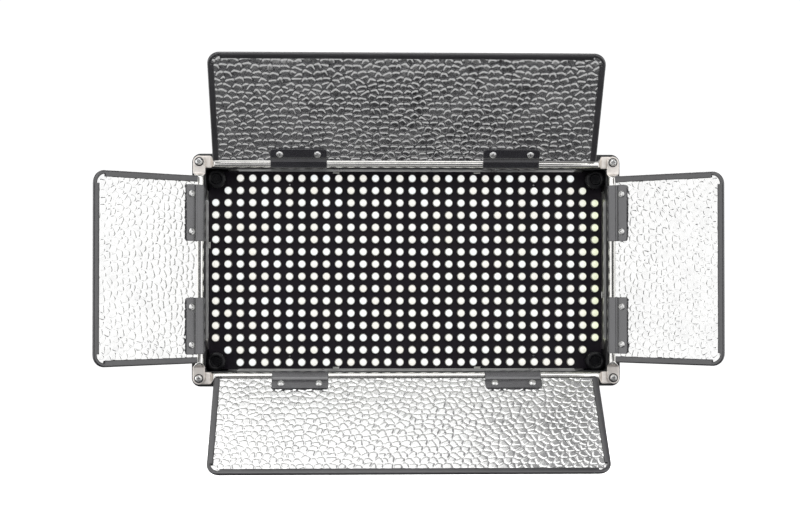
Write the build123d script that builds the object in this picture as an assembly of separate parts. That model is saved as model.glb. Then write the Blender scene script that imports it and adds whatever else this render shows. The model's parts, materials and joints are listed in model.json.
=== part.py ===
"""LED panel light with four barn doors, on a yoke with a stand socket.

Millimetres. X is to the right, Z is up, and the light shines towards -Y.
The origin is the centre of the stand socket's mouth, behind the panel.
"""

import os
from math import cos, radians, sin

from build123d import *

# Light source
LED_PITCH = 10.0
LED_COLUMNS = 32
LED_ROWS = 16
LED_RADIUS = 3.0
LED_HEIGHT = 5.2
LED_FLANGE_RADIUS = 3.3
LED_FLANGE_HEIGHT = 1.0

# Housing
HOUSING_WIDTH = 345.0
HOUSING_HEIGHT = 187.0
HOUSING_CORNER = 7.0
OPENING_WIDTH = 323.0
OPENING_HEIGHT = 163.0
SHELL_WALL = 2.0
BEZEL_FLANGE = 3.0
BEZEL_SLEEVE = 1.5
BACK_THICKNESS = 2.0

# Hinge rods and the corners they are screwed to
ROD_RADIUS = 3.0
ROD_X = 165.5
ROD_Z = 85.0
ROD_NECK = 4.6
TAB_WIDTH = 9.8
TAB_REACH = 8.4
TAB_THICKNESS = 1.6
CORNER_X = 166.5
CORNER_Z = 86.8
POST_X = 153.8
POST_Z = 73.8
POST_RADIUS = 7.4

# Barn doors: hinge to outer edge, and along the hinge
DOOR_LENGTH = 98.8
LONG_DOOR_WIDTH = 307.0
SHORT_DOOR_WIDTH = 149.5
DOOR_START = 4.8
DOOR_CORNER = 10.0
SHEET = 1.0
HEM_WIDTH = 5.0
HEM_THICKNESS = 0.8
TOP_TILT = 33.7
BOTTOM_TILT = 43.7
LEFT_TILT = 40.3
RIGHT_TILT = 39.5
TOP_SHIFT = -1.7
BOTTOM_SHIFT = -0.4
LEFT_SHIFT = 0.4
RIGHT_SHIFT = 0.6

# Door clips
CLIP_WIDTH = 45.0
CLIP_SHEET = 1.2
CLIP_REACH = 15.6
CLIP_BORE = 3.05
CLIP_SCREW_SPACING = 30.0
CLIP_SCREW_REACH = 11.0
LONG_CLIP_OFFSET = 85.0
SHORT_CLIP_OFFSET = 45.0

# Yoke and stand socket
YOKE_SHEET = 3.0
YOKE_WIDTH = 25.0
YOKE_CORNER = 3.5
YOKE_GAP = 5.0
ARM_LENGTH = 135.0
SOCKET_BORE = 8.1
SOCKET_RADIUS = 13.5
SOCKET_LENGTH = 42.0
SOCKET_BLIND = 4.0
SOCKET_FIXING = 19.0
STUD_RADIUS = 3.0
STUD_BORE = 3.06

# Positions along Y, from the socket's mouth forwards
CROSSBAR_Y = -SOCKET_LENGTH
PIVOT_Y = CROSSBAR_Y - YOKE_SHEET - ARM_LENGTH
ROD_Y = PIVOT_Y - 32.0
FACE_Y = ROD_Y + 4.6
LED_TIP_Y = ROD_Y + 18.8
BOARD_Y = LED_TIP_Y + LED_HEIGHT
BOARD_THICKNESS = 1.6
SPREADER_Y = BOARD_Y + BOARD_THICKNESS
SPREADER_PLATE = 2.0
FIN_DEPTH = 12.0
BACK_Y = ROD_Y + 60.0
INNER_BACK_Y = BACK_Y - BACK_THICKNESS

# Back controls
BATTERY_X = 0.0
BATTERY_Z = 8.0
BATTERY_WIDTH = 92.0
BATTERY_HEIGHT = 120.0
KNOB_Z = -58.0
BRIGHTNESS_X = 90.0
COLOUR_X = 132.0
DISPLAY_X = 111.0
DISPLAY_Z = -14.0
SWITCH_X = 111.0
SWITCH_Z = 34.0
SWITCH_TILT = 7.0
SWITCH_PIVOT_Y = BACK_Y - 1.0
TRUNNION_RADIUS = 1.2
INLET_X = -112.0
INLET_Z = -55.0

os.makedirs("parts", exist_ok=True)


def save(name, *shapes):
    """Write one node, as a group of separate solids where it has several."""
    solids = []
    for shape in shapes:
        solids.extend(shape.solids())
    group = solids[0] if len(solids) == 1 else Compound(children=solids)
    export_step(group, f"parts/{name}.step")


def block(x, y, z):
    """Box between two corners given as (low, high) on each axis."""
    size = Box(x[1] - x[0], y[1] - y[0], z[1] - z[0])
    return Pos((x[0] + x[1]) / 2, (y[0] + y[1]) / 2, (z[0] + z[1]) / 2) * size


def rod_y(radius, y0, y1, x=0.0, z=0.0):
    """Cylinder along Y."""
    return Pos(x, (y0 + y1) / 2, z) * Rot(90, 0, 0) * Cylinder(radius, y1 - y0)


def rod_x(radius, x0, x1, y=0.0, z=0.0):
    """Cylinder along X."""
    return Pos((x0 + x1) / 2, y, z) * Rot(0, 90, 0) * Cylinder(radius, x1 - x0)


def plate_y(sketch, y0, y1):
    """Sketch drawn as (x, z), made solid between two Y positions."""
    return extrude(Plane(origin=(0, y1, 0), x_dir=(1, 0, 0), z_dir=(0, -1, 0)) * sketch, y1 - y0)


def spun(points, x, y, z):
    """Solid of revolution about Y from (radius, depth) points, starting at y."""
    profile = Polyline(*[(r, d) for r, d in points], close=True)
    solid = revolve(make_face(profile), Axis.Y)
    return Pos(x, y, z) * solid


def corners(x, z):
    return [(sx * x, sz * z) for sx in (-1, 1) for sz in (-1, 1)]


# LED board and emitters

def led_sites():
    """Centres of the LEDs: a full grid without the three at each corner."""
    sites = []
    for column in range(LED_COLUMNS):
        for row in range(LED_ROWS):
            edge_x = min(column, LED_COLUMNS - 1 - column)
            edge_z = min(row, LED_ROWS - 1 - row)
            if edge_x + edge_z < 2 and max(edge_x, edge_z) < 2:
                continue
            x = (column - (LED_COLUMNS - 1) / 2) * LED_PITCH
            z = (row - (LED_ROWS - 1) / 2) * LED_PITCH
            sites.append((x, z))
    return sites


def led_emitter():
    """One domed LED with its flange, tip towards -Y, flange base at y = 0."""
    dome = LED_RADIUS
    wall = LED_HEIGHT - dome
    with BuildPart() as led:
        with BuildSketch(Plane.XY):
            with BuildLine():
                Line((0, 0), (LED_FLANGE_RADIUS, 0))
                Line((LED_FLANGE_RADIUS, 0), (LED_FLANGE_RADIUS, -LED_FLANGE_HEIGHT))
                Line((LED_FLANGE_RADIUS, -LED_FLANGE_HEIGHT), (dome, -LED_FLANGE_HEIGHT))
                Line((dome, -LED_FLANGE_HEIGHT), (dome, -wall))
                CenterArc((0, -wall), dome, 270, 90)
                Line((0, -LED_HEIGHT), (0, 0))
            make_face()
        revolve(axis=Axis.Y)
    return led.part.solid()


def led_board():
    board = block((-160.8, 160.8), (BOARD_Y, SPREADER_Y), (-80.8, 80.8))
    for x, z in corners(POST_X, POST_Z):
        board -= rod_y(1.7, BOARD_Y - 1, SPREADER_Y + 1, x, z)
    for x, z in corners(100.0, 70.0):
        board -= rod_y(0.8, BOARD_Y - 1, SPREADER_Y + 1, x + 5, z)
    return board


def corner_post():
    """Turned post with a chamfered rim and a dished end, on its own stud."""
    depth = BOARD_Y - (ROD_Y + 9.0)
    return spun(
        [
            (0, 2.0), (3.6, 2.0), (4.4, 0.6), (5.2, 0), (6.0, 0), (POST_RADIUS, 0.7),
            (POST_RADIUS, 4.2), (6.1, 4.8), (6.1, 6.0), (POST_RADIUS, 6.6),
            (POST_RADIUS, depth), (1.6, depth), (1.6, depth + 5.4), (0, depth + 5.4),
        ],
        0, ROD_Y + 9.0, 0,
    )


def heat_spreader():
    """Aluminium plate behind the board, with upright fins on its back."""
    plate_end = SPREADER_Y + SPREADER_PLATE
    spreader = block((-160.0, 160.0), (SPREADER_Y, plate_end), (-80.0, 80.0))
    for x, z in corners(POST_X, POST_Z):
        spreader -= rod_y(1.7, SPREADER_Y - 1, plate_end + 1, x, z)
    count = 15
    for index in range(count):
        x = -140.0 + 280.0 * index / (count - 1)
        spreader += block((x - 0.75, x + 0.75), (plate_end, plate_end + FIN_DEPTH), (-60.0, 60.0))
    return spreader


def post_nut():
    """Hex nut behind the heat spreader, on a corner post's stud."""
    start = SPREADER_Y + SPREADER_PLATE
    nut = plate_y(RegularPolygon(2.9, 6), start, start + 1.6)
    return nut - rod_y(1.62, start - 1, start + 3)


# Housing

def rounded(width, height, radius):
    return RectangleRounded(width, height, radius)


def front_bezel():
    """Black front frame, with the sleeve that forms the recess's walls."""
    flange_end = FACE_Y + BEZEL_FLANGE
    outer = plate_y(rounded(HOUSING_WIDTH, HOUSING_HEIGHT, HOUSING_CORNER), FACE_Y, flange_end)
    front_edges = outer.faces().sort_by(Axis.Y)[0].edges()
    outer = chamfer(front_edges, 0.8)
    sleeve = plate_y(
        rounded(OPENING_WIDTH + 2 * BEZEL_SLEEVE, OPENING_HEIGHT + 2 * BEZEL_SLEEVE, 4.0),
        flange_end, BOARD_Y,
    )
    frame = outer + sleeve
    frame -= plate_y(rounded(OPENING_WIDTH, OPENING_HEIGHT, 2.5), FACE_Y - 1, BOARD_Y + 1)
    for x, z in corners(CORNER_X, CORNER_Z):
        frame += rod_y(3.6, flange_end, FACE_Y + 16.0, x, z)
    for x, z in corners(CORNER_X, CORNER_Z):
        frame -= rod_y(1.52, FACE_Y - 1, FACE_Y + 14.0, x, z)
    return frame


def housing_shell():
    """Wrap of sheet metal: four walls, with cooling slots and pivot holes."""
    front = FACE_Y + BEZEL_FLANGE
    outer = rounded(HOUSING_WIDTH, HOUSING_HEIGHT, HOUSING_CORNER)
    inner = rounded(
        HOUSING_WIDTH - 2 * SHELL_WALL, HOUSING_HEIGHT - 2 * SHELL_WALL, HOUSING_CORNER - SHELL_WALL
    )
    shell = plate_y(outer - inner, front, BACK_Y)
    for side in (-1, 1):
        shell -= rod_x(7.05, side * 165 - 10, side * 165 + 10, PIVOT_Y, 0)
    for side in (-1, 1):
        z = side * HOUSING_HEIGHT / 2
        for index in range(16):
            x = -120.0 + 16.0 * index
            slot = Pos(x, PIVOT_Y + 6.0, z) * extrude(SlotOverall(18, 3.2, 90), 3.0, both=True)
            shell -= slot
    return shell


def vent_field(x, z, width, rows, pitch):
    """Rows of long slots through the back cover."""
    cutters = []
    for row in range(rows):
        slot_z = z + (row - (rows - 1) / 2) * pitch
        slot = plate_y(Pos(x, slot_z) * SlotOverall(width, 3.0), INNER_BACK_Y - 1, BACK_Y + 1)
        cutters.append(slot)
    return cutters


COVER_SCREWS = [(sx * x, sz * z) for x, z in ((155, 82), (60, 84)) for sx in (-1, 1) for sz in (-1, 1)]


def back_cover():
    clear = SHELL_WALL + 0.2
    cover = plate_y(
        rounded(HOUSING_WIDTH - 2 * clear, HOUSING_HEIGHT - 2 * clear, HOUSING_CORNER - clear),
        INNER_BACK_Y, BACK_Y,
    )
    cutters = vent_field(-112.0, 22.0, 66.0, 12, 7.0)
    cutters += vent_field(112.0, 66.0, 66.0, 3, 7.0)
    for x, z in COVER_SCREWS:
        cutters.append(rod_y(1.6, INNER_BACK_Y - 1, BACK_Y + 1, x, z))
    for x in (BRIGHTNESS_X, COLOUR_X):
        cutters.append(rod_y(3.6, INNER_BACK_Y - 1, BACK_Y + 1, x, KNOB_Z))
    cutters.append(block(
        (DISPLAY_X - 19, DISPLAY_X + 19), (INNER_BACK_Y - 1, BACK_Y + 1),
        (DISPLAY_Z - 8.5, DISPLAY_Z + 8.5),
    ))
    cutters.append(block(
        (SWITCH_X - 7.2, SWITCH_X + 7.2), (INNER_BACK_Y - 1, BACK_Y + 1),
        (SWITCH_Z - 11.6, SWITCH_Z + 11.6),
    ))
    cutters.append(rod_y(9.6, INNER_BACK_Y - 1, BACK_Y + 1, INLET_X, INLET_Z))
    for side in (-1, 1):
        for z in (BATTERY_Z - 50, BATTERY_Z + 50):
            cutters.append(rod_y(2.1, INNER_BACK_Y - 1, BACK_Y + 1, BATTERY_X + side * 38, z))
    for cutter in cutters:
        cover -= cutter
    return cover


def cross_recess(width, y_face, depth, x=0.0, z=0.0):
    """Cross-shaped recess cut into a screw head from y_face."""
    blade = block((-width / 2, width / 2), (-1, depth), (-0.45, 0.45))
    cross = blade + block((-0.45, 0.45), (-1, depth), (-width / 2, width / 2))
    return Pos(x, y_face, z) * cross


def pan_screw(head_radius, head_height, shank_radius, length):
    """Pan-head screw with its tip towards +Y and its head's underside at y = 0."""
    head = spun(
        [
            (0, -head_height), (0.45 * head_radius, -0.97 * head_height),
            (0.78 * head_radius, -0.78 * head_height), (head_radius, -0.3 * head_height),
            (head_radius, 0), (shank_radius, 0), (shank_radius, length - 0.5),
            (shank_radius - 0.5, length), (0, length),
        ],
        0, 0, 0,
    )
    return head - cross_recess(1.15 * head_radius, -head_height, 0.55 * head_height)


def pivot_insert(side):
    """Bush through the housing's side, with the flange the friction pad sits on."""
    wall = HOUSING_WIDTH / 2
    bush = rod_x(7.0, 162.4, wall, PIVOT_Y, 0)
    flange = rod_x(14.0, wall, wall + 2.4, PIVOT_Y, 0)
    insert = bush + flange - rod_x(STUD_BORE, 150, 190, PIVOT_Y, 0)
    return insert if side > 0 else mirror(insert, Plane.YZ)


def friction_pad(side):
    wall = HOUSING_WIDTH / 2
    pad = rod_x(13.0, wall + 2.4, wall + YOKE_GAP - 0.3, PIVOT_Y, 0)
    pad -= rod_x(4.5, wall, wall + YOKE_GAP, PIVOT_Y, 0)
    return pad if side > 0 else mirror(pad, Plane.YZ)


# Lining of the recess

def liner_strip(half_length, wall, vertical):
    """L-shaped polished strip on one recess wall, with its ends cut at 45 degrees."""
    front = FACE_Y + 1.0
    rear = BOARD_Y - 0.4
    depth = rear - front
    outline = Polyline(
        (-half_length + depth * 0.45, front), (half_length - depth * 0.45, front),
        (half_length, front + depth * 0.45), (half_length, rear),
        (-half_length, rear), (-half_length, front + depth * 0.45), close=True,
    )
    leg = extrude(make_face(outline), 0.8)
    lip_half = half_length - depth * 0.45 - 1.0
    lip = block((-lip_half, lip_half), (front, front + 0.8), (0, 2.0))
    strip = Pos(0, 0, -wall + 0.05) * (leg + lip)
    return Rot(0, 90, 0) * strip if vertical else strip


def filter_hook():
    """Small bent spring that keeps a filter in, standing off a wall at z = 0."""
    profile = Polyline(
        (0, 0), (9.0, 0), (9.0, 0.5), (3.4, 0.5), (1.2, 2.6), (0.8, 2.3), (2.6, 0.5), (0, 0.5),
        close=True,
    )
    hook = extrude(Plane(origin=(-2.5, 0, 0), x_dir=(0, 1, 0), z_dir=(1, 0, 0)) * make_face(profile), 5.0)
    return hook


def filter_hooks():
    """Two hooks on each long wall and one on each short wall."""
    hooks = []
    y = FACE_Y + 2.2
    stand = 0.9
    for x in (-57.0, 57.0):
        hooks.append(Pos(x, y, -OPENING_HEIGHT / 2 + stand) * filter_hook())
        hooks.append(Pos(x, y, OPENING_HEIGHT / 2 - stand) * Rot(0, 180, 0) * filter_hook())
    for side in (-1, 1):
        hook = Rot(0, side * 90, 0) * Pos(0, 0, -OPENING_WIDTH / 2 + stand) * filter_hook()
        hooks.append(Pos(0, y, side * 20.0) * hook)
    return hooks


# Hinge rods

def crushed_end(start, end, lean, tab_y):
    """One rod end along +Z: a neck from the round rod to a flat tab with a hole."""
    neck_end = start + ROD_NECK
    with BuildPart() as neck:
        with BuildSketch(Plane.XY.offset(start)):
            Circle(ROD_RADIUS)
        with BuildSketch(Plane(origin=(lean, tab_y, neck_end))):
            Ellipse(TAB_WIDTH / 2, TAB_THICKNESS / 2)
        loft()
    outline = Pos(0, (neck_end + end) / 2) * Rectangle(TAB_WIDTH, end - neck_end)
    outline += Pos(0, end) * Circle(TAB_WIDTH / 2)
    outline -= Pos(0, end) * Circle(1.6)
    tab = plate_y(outline, tab_y - TAB_THICKNESS / 2, tab_y + TAB_THICKNESS / 2)
    return neck.part + Pos(lean, 0, 0) * tab


def hinge_rod(hole_reach, lean, tab_y):
    """Rod along Z with both ends crushed and stepped sideways by lean."""
    half_straight = hole_reach - TAB_REACH - ROD_NECK
    end = crushed_end(half_straight, hole_reach, lean, tab_y)
    rod = Cylinder(ROD_RADIUS, 2 * half_straight)
    return rod + end + mirror(end, Plane.XY)


def rods():
    """The two long rods lie under the two short ones at the corners."""
    under = 4.6 - TAB_THICKNESS / 2
    over = under - TAB_THICKNESS
    upright = hinge_rod(CORNER_Z, CORNER_X - ROD_X, over)
    level = hinge_rod(CORNER_X, CORNER_Z - ROD_Z, under)
    level_top = Rot(0, -90, 0) * level
    return {
        "rod_right": Pos(ROD_X, ROD_Y, 0) * upright,
        "rod_left": Pos(-ROD_X, ROD_Y, 0) * mirror(upright, Plane.YZ),
        "rod_top": Pos(0, ROD_Y, ROD_Z) * level_top,
        "rod_bottom": Pos(0, ROD_Y, -ROD_Z) * mirror(level_top, Plane.XY),
    }


# Barn doors. Built hanging upwards from a hinge on X, inner face towards -Y.

def door_outline(width, inset):
    """Door sheet in (x, z), rounded at its two outer corners."""
    half = width / 2 - inset
    low = DOOR_START
    high = DOOR_LENGTH - inset
    radius = DOOR_CORNER - inset
    sheet = Pos(0, (low + high) / 2) * Rectangle(2 * half, high - low)
    outer = sheet.vertices().filter_by(lambda v: v.Y > high - 1)
    return fillet(outer, radius)


def door_holes(offset, radius):
    """Screw holes of both clips, as cylinders through the door."""
    holes = []
    for clip in (-offset, offset):
        for side in (-0.5, 0.5):
            x = clip + side * CLIP_SCREW_SPACING
            holes.append(rod_y(radius, -8, 8, x, CLIP_SCREW_REACH))
    return holes


def door_panel(width, offset):
    """Dark sheet with a thin rim, hemmed over the insert on its straight edges."""
    back = plate_y(door_outline(width, 0), -2.0, -1.0)
    ring = door_outline(width, 0) - door_outline(width, SHEET * 0.8)
    rim = plate_y(ring, -3.9, -2.0)
    inner_half = width / 2 - SHEET * 0.8
    rim -= block((-inner_half, inner_half), (-5, 0), (0, DOOR_START + 6))
    panel = back + rim
    straight = width / 2 - DOOR_CORNER
    high = DOOR_LENGTH
    top_hem = block((-straight, straight), (-3.9, -3.1), (high - HEM_WIDTH, high - 0.4))
    panel += top_hem
    for side in (-1, 1):
        edges = sorted((side * (width / 2 - 0.4), side * (width / 2 - HEM_WIDTH)))
        panel += block(edges, (-3.9, -3.1), (DOOR_START, high - DOOR_CORNER))
    for hole in door_holes(offset, 1.6):
        panel -= hole
    return panel


def door_reflector(width, offset):
    """Aluminium insert, held under the hems."""
    insert = plate_y(door_outline(width, SHEET * 0.8 + 0.1), -3.05, -2.05)
    for hole in door_holes(offset, 1.6):
        insert -= hole
    return insert


def door_clip():
    """Sheet clip: a barrel wrapped round the rod, running out into a flat tongue."""
    outer = CLIP_BORE + CLIP_SHEET
    reach = 3 * outer
    opening = Polyline(
        (0, 0), (reach * cos(radians(50)), reach * sin(radians(50))), (-reach, reach), (-reach, 0),
        close=True,
    )
    barrel = Circle(outer) - Circle(CLIP_BORE) - make_face(opening)
    section = Plane(origin=(-CLIP_WIDTH / 2, 0, 0), x_dir=(0, 1, 0), z_dir=(1, 0, 0))
    clip = extrude(section * barrel, CLIP_WIDTH)
    tongue = block((-CLIP_WIDTH / 2, CLIP_WIDTH / 2), (-outer, -CLIP_BORE), (0, CLIP_REACH))
    corner_edges = tongue.edges().filter_by(Axis.Y).group_by(Axis.Z)[-1]
    clip += fillet(corner_edges, 1.5)
    for side in (-0.5, 0.5):
        clip -= rod_y(1.6, -8, -2, side * CLIP_SCREW_SPACING, CLIP_SCREW_REACH)
    return clip


def door_screws(offset):
    head_y = -(CLIP_BORE + CLIP_SHEET)
    screw = Pos(0, head_y, 0) * pan_screw(2.8, 1.7, 1.5, 5.6)
    return [
        Pos(clip + side * CLIP_SCREW_SPACING, 0, CLIP_SCREW_REACH) * screw
        for clip in (-offset, offset) for side in (-0.5, 0.5)
    ]


def door_nuts(offset):
    nut = plate_y(RegularPolygon(3.1, 6), -1.0, 1.0) - rod_y(1.53, -2, 2)
    return [
        Pos(clip + side * CLIP_SCREW_SPACING, 0, CLIP_SCREW_REACH) * nut
        for clip in (-offset, offset) for side in (-0.5, 0.5)
    ]


def save_door(name, place, width, offset):
    save(f"door_{name}_panel", place * door_panel(width, offset))
    save(f"door_{name}_reflector", place * door_reflector(width, offset))
    save(f"door_{name}_clips", *[place * Pos(x, 0, 0) * door_clip() for x in (-offset, offset)])
    save(f"door_{name}_screws", *[place * screw for screw in door_screws(offset)])
    save(f"door_{name}_nuts", *[place * nut for nut in door_nuts(offset)])


# Yoke and stand socket

def yoke_bracket():
    """U of flat bar: two arms to the pivots and a crossbar, mitred and welded at the corners."""
    inside = HOUSING_WIDTH / 2 + YOKE_GAP
    outside = inside + YOKE_SHEET
    front = CROSSBAR_Y - YOKE_SHEET
    outer = Pos(0, (PIVOT_Y + CROSSBAR_Y) / 2) * Rectangle(2 * outside, CROSSBAR_Y - PIVOT_Y)
    outer = fillet(outer.vertices().filter_by(lambda v: v.Y > front), YOKE_CORNER)
    inner = Pos(0, (PIVOT_Y - 5 + front) / 2) * Rectangle(2 * inside, front - PIVOT_Y + 5)
    yoke = extrude(Pos(0, 0, -YOKE_WIDTH / 2) * (outer - inner), YOKE_WIDTH)
    for side in (-1, 1):
        arm = sorted((side * inside, side * outside))
        yoke += rod_x(14.5, arm[0], arm[1], PIVOT_Y, 0)
        yoke -= rod_x(STUD_BORE, arm[0] - 1, arm[1] + 1, PIVOT_Y, 0)
    for x in (-SOCKET_FIXING, SOCKET_FIXING):
        yoke -= rod_y(2.6, front - 1, CROSSBAR_Y + 1, x, 0)
    near = (inside - 1, front - 1)
    far = (outside + 6, CROSSBAR_Y + 6)
    bar_region = Polygon((-near[0], near[1]), near, far, (-far[0], far[1]), align=None)
    arm_region = Polygon(near, (near[0], PIVOT_Y - 20), (far[0], PIVOT_Y - 20), far, align=None)
    bar_block = extrude(Pos(0, 0, -20) * bar_region, 40)
    arm_block = extrude(Pos(0, 0, -20) * arm_region, 40)
    arm = yoke & arm_block
    return yoke & bar_block, arm, mirror(arm, Plane.YZ)


def stand_socket():
    """Blind round socket for a 5/8 inch spigot, on an oval foot."""
    foot = plate_y(SlotOverall(54, 24), CROSSBAR_Y, CROSSBAR_Y + SOCKET_BLIND)
    tube = rod_y(SOCKET_RADIUS, CROSSBAR_Y, 0)
    boss = rod_x(8.0, 0, 19.0, -20.0, 0)
    socket = foot + tube + boss
    socket -= rod_y(SOCKET_BORE, CROSSBAR_Y + SOCKET_BLIND, 1)
    socket -= rod_x(4.05, 0, 25.0, -20.0, 0)
    for x in (-SOCKET_FIXING, SOCKET_FIXING):
        socket -= rod_y(2.1, CROSSBAR_Y - 1, CROSSBAR_Y + 8, x, 0)
    return socket


def lobed_knob(radius, thickness, lobes, bore):
    """Hand knob about Z with shallow finger scallops, base at z = 0."""
    with BuildPart() as knob:
        with BuildSketch():
            Circle(radius)
            with PolarLocations(radius + 4.2, lobes):
                Circle(6.0, mode=Mode.SUBTRACT)
        extrude(amount=thickness)
        top = knob.faces().sort_by(Axis.Z)[-1]
        chamfer(top.edges(), 1.2)
        with Locations((0, 0, -3.0)):
            Cylinder(radius * 0.5, 3.0, align=(Align.CENTER, Align.CENTER, Align.MIN))
        Cylinder(bore, 2 * (thickness - 4.0), mode=Mode.SUBTRACT)
    return knob.part


def tilt_knob():
    """Tilt lock knob on the right arm, axis along X."""
    start = HOUSING_WIDTH / 2 + YOKE_GAP + YOKE_SHEET + 2.0
    return Pos(start + 3.0, PIVOT_Y, 0) * Rot(0, 90, 0) * lobed_knob(18.0, 15.0, 8, 3.02)


def tilt_stud():
    start = HOUSING_WIDTH / 2 + YOKE_GAP + YOKE_SHEET
    stud = rod_x(STUD_RADIUS, 163.0, start + 15.5, PIVOT_Y, 0)
    washer = rod_x(9.5, start + 0.3, start + 1.9, PIVOT_Y, 0)
    return stud, washer - rod_x(STUD_RADIUS + 0.02, 163.0, start + 15, PIVOT_Y, 0)


def clamp_knob():
    knob = lobed_knob(14.0, 12.0, 6, 4.02)
    return Pos(26.5, -20.0, 0) * Rot(0, 90, 0) * knob


# Controls on the back

def fluted_knob():
    """Dimmer knob pointing to +Y, base at y = 0, with a pointer line cut in."""
    with BuildPart() as knob:
        with BuildSketch():
            Circle(11.0)
            with PolarLocations(11.5, 20):
                Circle(1.0, mode=Mode.SUBTRACT)
        extrude(amount=13.0)
        top = knob.faces().sort_by(Axis.Z)[-1]
        chamfer(top.edges(), 0.4)
        with Locations((0, -6.0, 13.0)):
            Box(1.2, 7.0, 1.0, mode=Mode.SUBTRACT)
        Cylinder(3.05, 18.0, mode=Mode.SUBTRACT)
    return Rot(-90, 0, 0) * knob.part


def potentiometer(x):
    """Body, bushing and shaft of the dimmer behind one knob."""
    body = block((x - 8, x + 8), (BACK_Y - 12, BACK_Y - 4.0), (KNOB_Z - 8, KNOB_Z + 8))
    bushing = rod_y(3.5, BACK_Y - 4.0, BACK_Y + 0.3, x, KNOB_Z)
    shaft = rod_y(3.0, BACK_Y, BACK_Y + 8.5, x, KNOB_Z)
    return body + bushing + shaft


def rocker():
    """Rocker of the power switch on its two trunnions, rolled to its off side about X."""
    section = Polyline(
        (-6.0, -2.8), (6.0, -2.8), (8.9, 4.8), (4.4, 3.5), (0, 3.1), (-4.4, 3.5), (-8.9, 4.8),
        close=True,
    )
    plane = Plane(origin=(4.9, 0, 0), x_dir=(0, 0, 1), z_dir=(-1, 0, 0))
    body = extrude(plane * make_face(section), 9.8)
    body += rod_x(TRUNNION_RADIUS, -6.2, 6.2)
    return Pos(SWITCH_X, SWITCH_PIVOT_Y, SWITCH_Z) * Rot(SWITCH_TILT, 0, 0) * body


def switch_frame():
    """Snap-in frame of the rocker switch, with the well and the seats the rocker turns in."""
    frame = block((-10.0, 10.0), (BACK_Y, BACK_Y + 1.8), (-14.5, 14.5))
    frame += block((-7.0, 7.0), (BACK_Y - 12.0, BACK_Y), (-11.4, 11.4))
    frame -= block((-5.3, 5.3), (BACK_Y - 8.0, BACK_Y + 4.0), (-10.0, 10.0))
    frame -= rod_x(TRUNNION_RADIUS + 0.05, -6.5, 6.5, SWITCH_PIVOT_Y, 0)
    return Pos(SWITCH_X, 0, SWITCH_Z) * frame


def dc_inlet():
    """Round panel inlet: flange, cup and floor."""
    flange = plate_y(rounded(26, 31, 2.0), BACK_Y, BACK_Y + 2.2)
    barrel = rod_y(9.5, BACK_Y - 14, BACK_Y)
    inlet = flange + barrel - rod_y(8.0, BACK_Y - 12.0, BACK_Y + 4)
    for x, z in ((10.2, 12.6), (-10.2, -12.6)):
        inlet -= rod_y(1.6, BACK_Y - 1, BACK_Y + 4, x, z)
    return Pos(INLET_X, 0, INLET_Z) * inlet


def inlet_pins():
    pins = []
    for angle in (45, 135, 225, 315):
        x = INLET_X + 3.5 * cos(radians(angle))
        z = INLET_Z + 3.5 * sin(radians(angle))
        pins.append(rod_y(0.9, BACK_Y - 12.0, BACK_Y - 6.0, x, z))
    return pins


def battery_plate():
    """Plate with an undercut tapered slot, open upwards, for a battery's wedge."""
    base = plate_y(rounded(BATTERY_WIDTH, BATTERY_HEIGHT, 5.0), BACK_Y, BACK_Y + 4.0)
    pad = plate_y(rounded(60.0, 96.0, 4.0), BACK_Y + 4.0, BACK_Y + 12.0)
    pad = Pos(0, 0, 4.0) * pad
    mouth = Polyline((-15, 60), (15, 60), (10.5, -24), (-10.5, -24), close=True)
    pad -= plate_y(make_face(mouth), BACK_Y + 8.0, BACK_Y + 13.0)
    undercut = Polyline((-18.5, 60), (18.5, 60), (14, -24), (-14, -24), close=True)
    pad -= plate_y(make_face(undercut), BACK_Y + 5.0, BACK_Y + 9.0)
    plate = base + pad
    for side in (-1, 1):
        for z in (-50, 50):
            plate -= rod_y(2.1, BACK_Y - 1, BACK_Y + 5, side * 38, z)
    plate -= block((22.0, 46.5), (BACK_Y + 1.0, BACK_Y + 14.0), (-43.0, -29.0))
    return Pos(BATTERY_X, 0, BATTERY_Z) * plate


def battery_release():
    """Push button at the plate's lower corner, sliding along X."""
    button = block((24.5, 49.5), (BACK_Y + 1.4, BACK_Y + 7.6), (-42.2, -29.8))
    ribs = button
    for index in range(4):
        x = 32.0 + 4.0 * index
        ribs -= block((x, x + 1.6), (BACK_Y + 6.9, BACK_Y + 9.0), (-43.0, -29.0))
    return Pos(BATTERY_X, 0, BATTERY_Z) * ribs


def battery_contacts():
    """Contact block at the foot of the slot, with two blades."""
    y = BACK_Y + 5.0
    holder = block((-9.0, 9.0), (y, y + 6.0), (-23.5, -16.0))
    blades = [block((x - 0.5, x + 0.5), (y, y + 5.0), (-16.0, -9.0)) for x in (-5.0, 5.0)]
    return [Pos(BATTERY_X, 0, BATTERY_Z) * item for item in [holder] + blades]


def driver_board():
    return block((-95.0, 40.0), (ROD_Y + 44.0, ROD_Y + 45.6), (-62.0, 62.0))


def driver_parts():
    """Coils, capacitors and transistors on the driver board."""
    y = ROD_Y + 45.6
    parts = []
    for index, z in enumerate((-40.0, -12.0, 16.0, 44.0)):
        coil = rod_y(8.0, y, y + 3.0, -70.0, z) + rod_y(6.2, y + 3.0, y + 7.0, -70.0, z)
        parts.append(coil + rod_y(8.0, y + 7.0, y + 9.0, -70.0, z))
        parts.append(rod_y(5.0, y, y + 9.5, -45.0, z + 4.0))
        parts.append(block((-28.0, -18.0), (y, y + 4.4), (z - 7.0, z + 7.0)))
        parts.append(block((-4.0, 12.0), (y, y + 1.8), (z - 5.0, z + 5.0)))
    return parts


def board_standoffs():
    """Pillars that carry the driver board on the back cover."""
    pillars = []
    for x in (-90.0, 28.0):
        for z in (-57.0, 57.0):
            pillars.append(rod_y(2.8, ROD_Y + 45.6, INNER_BACK_Y, x, z))
    return pillars


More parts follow.
